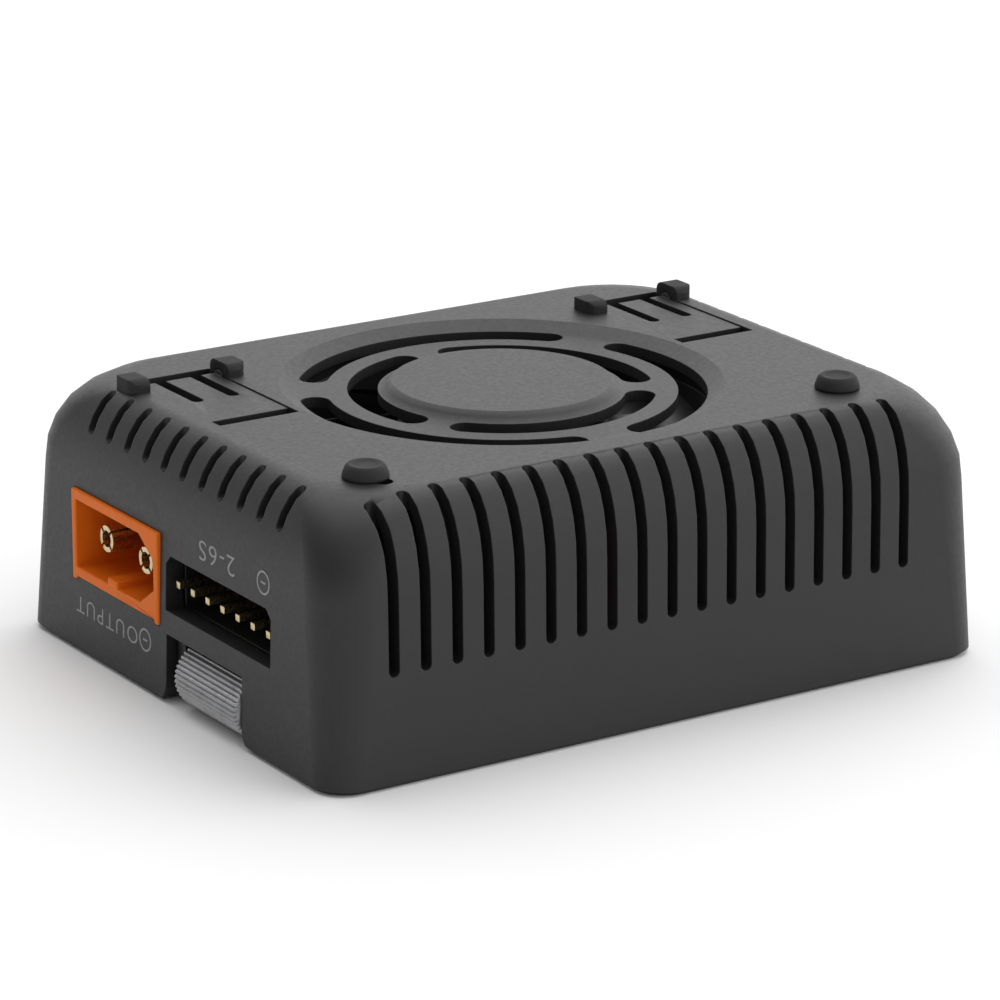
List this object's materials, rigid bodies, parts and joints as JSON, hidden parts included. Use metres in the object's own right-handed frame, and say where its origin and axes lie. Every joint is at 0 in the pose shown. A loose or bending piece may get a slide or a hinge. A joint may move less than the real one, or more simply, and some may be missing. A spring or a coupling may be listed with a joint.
{
  "type": "balance battery charger",
  "caption": "Compact balance charger for multi-cell packs, with power and balance sockets, scroll wheel, display, rear fan and fold-out legs.",
  "frame": {"origin": "centre of the bounding box in plan, on the surface the display face lies on; the charger lies face down, as shown, with its fan side up", "axes": "+X from the output end to the input end, along the longest side; +Y from the near long side to the far one; +Z out of the fan side"},
  "size_m": [0.068, 0.053, 0.0252],
  "materials": {
    "case_plastic": "fine-textured dark grey moulding",
    "dark_plastic": "black moulding",
    "display_glass": "glossy black cover",
    "lcd": "module with metal frame",
    "flex": "polyimide film",
    "ivory_plastic": "natural nylon",
    "orange_plastic": "orange nylon",
    "gold_plated": "gold-plated copper",
    "knurled_metal": "finely knurled, satin",
    "steel": "plated steel",
    "board": "solder mask over glass-fibre laminate",
    "chip_black": "moulded epoxy",
    "ferrite": "ferrite",
    "copper": "enamelled copper wire",
    "bearing_bronze": "sintered bronze",
    "brass": "turned brass",
    "foam": "closed-cell foam",
    "rubber_black": "soft rubber",
    "wire_red": "insulated wire",
    "heat_sink": "extruded aluminium",
    "thermal_pad": "silicone pad",
    "capacitor_can": "sleeved aluminium can"
  },
  "bodies": {
    "case": {"housing_shell": "case_plastic", "front_panel": "case_plastic", "display_window": "display_glass", "display_module": "lcd", "display_flex": "flex", "display_socket": "ivory_plastic", "button_switch": "chip_black", "wheel_switch": "chip_black", "main_board": "board", "output_connector": "orange_plastic", "output_pins": "gold_plated", "input_connector": "orange_plastic", "input_pins": "gold_plated", "balance_header": "dark_plastic", "balance_pins": "gold_plated", "usb_shell": "steel", "usb_tongue": "dark_plastic", "fan_frame": "dark_plastic", "fan_bearing": "bearing_bronze", "fan_coils": "copper", "fan_gasket": "foam", "fan_standoffs": "brass", "fan_screws": "steel", "fan_wires": "wire_red", "fan_plug": "ivory_plastic", "heat_sink": "heat_sink", "thermal_pad": "thermal_pad", "power_transistors": "chip_black", "power_inductor": "ferrite", "capacitors": "capacitor_can", "microcontroller": "chip_black", "shunt_resistors": "chip_black", "balance_resistors": "chip_black", "buzzer": "dark_plastic", "case_screws": "steel", "rubber_feet": "rubber_black", "leg_knuckles": "rubber_black"},
    "scroll_wheel": {"scroll_wheel": "knurled_metal", "wheel_shaft": "steel"},
    "wheel_carrier": {"wheel_carrier": "dark_plastic"},
    "exit_button": {"exit_button": "case_plastic"},
    "fan_rotor": {"fan_rotor": "dark_plastic", "fan_magnet": "ferrite", "fan_shaft": "steel"},
    "stand_leg_left": {"stand_leg_left": "case_plastic"},
    "stand_leg_right": {"stand_leg_right": "case_plastic"}
  },
  "joints": [
    {"name": "wheel_press", "type": "slide", "parent": "case", "child": "wheel_carrier", "axis": [1, 0, 0], "range_m": [0, 0.0004], "stiffness_N_per_m": 1500},
    {"name": "wheel_spin", "type": "hinge", "parent": "wheel_carrier", "child": "scroll_wheel", "pos_m": [-0.03097, -0.0064, 0.00315], "axis": [0, 1, 0], "continuous": true},
    {"name": "exit_press", "type": "slide", "parent": "case", "child": "exit_button", "axis": [0, 0, 1], "range_m": [0, 0.0003], "stiffness_N_per_m": 1500},
    {"name": "fan_spin", "type": "hinge", "parent": "case", "child": "fan_rotor", "pos_m": [0.00022, 0, 0.018], "axis": [0, 0, 1], "continuous": true},
    {"name": "leg_left_fold", "type": "hinge", "parent": "case", "child": "stand_leg_left", "pos_m": [-0.02382, 0.0147, 0.0236], "axis": [-1, 0, 0], "range_deg": [0, 100]},
    {"name": "leg_right_fold", "type": "hinge", "parent": "case", "child": "stand_leg_right", "pos_m": [0.02432, 0.0147, 0.0236], "axis": [-1, 0, 0], "range_deg": [0, 100]}
  ]
}
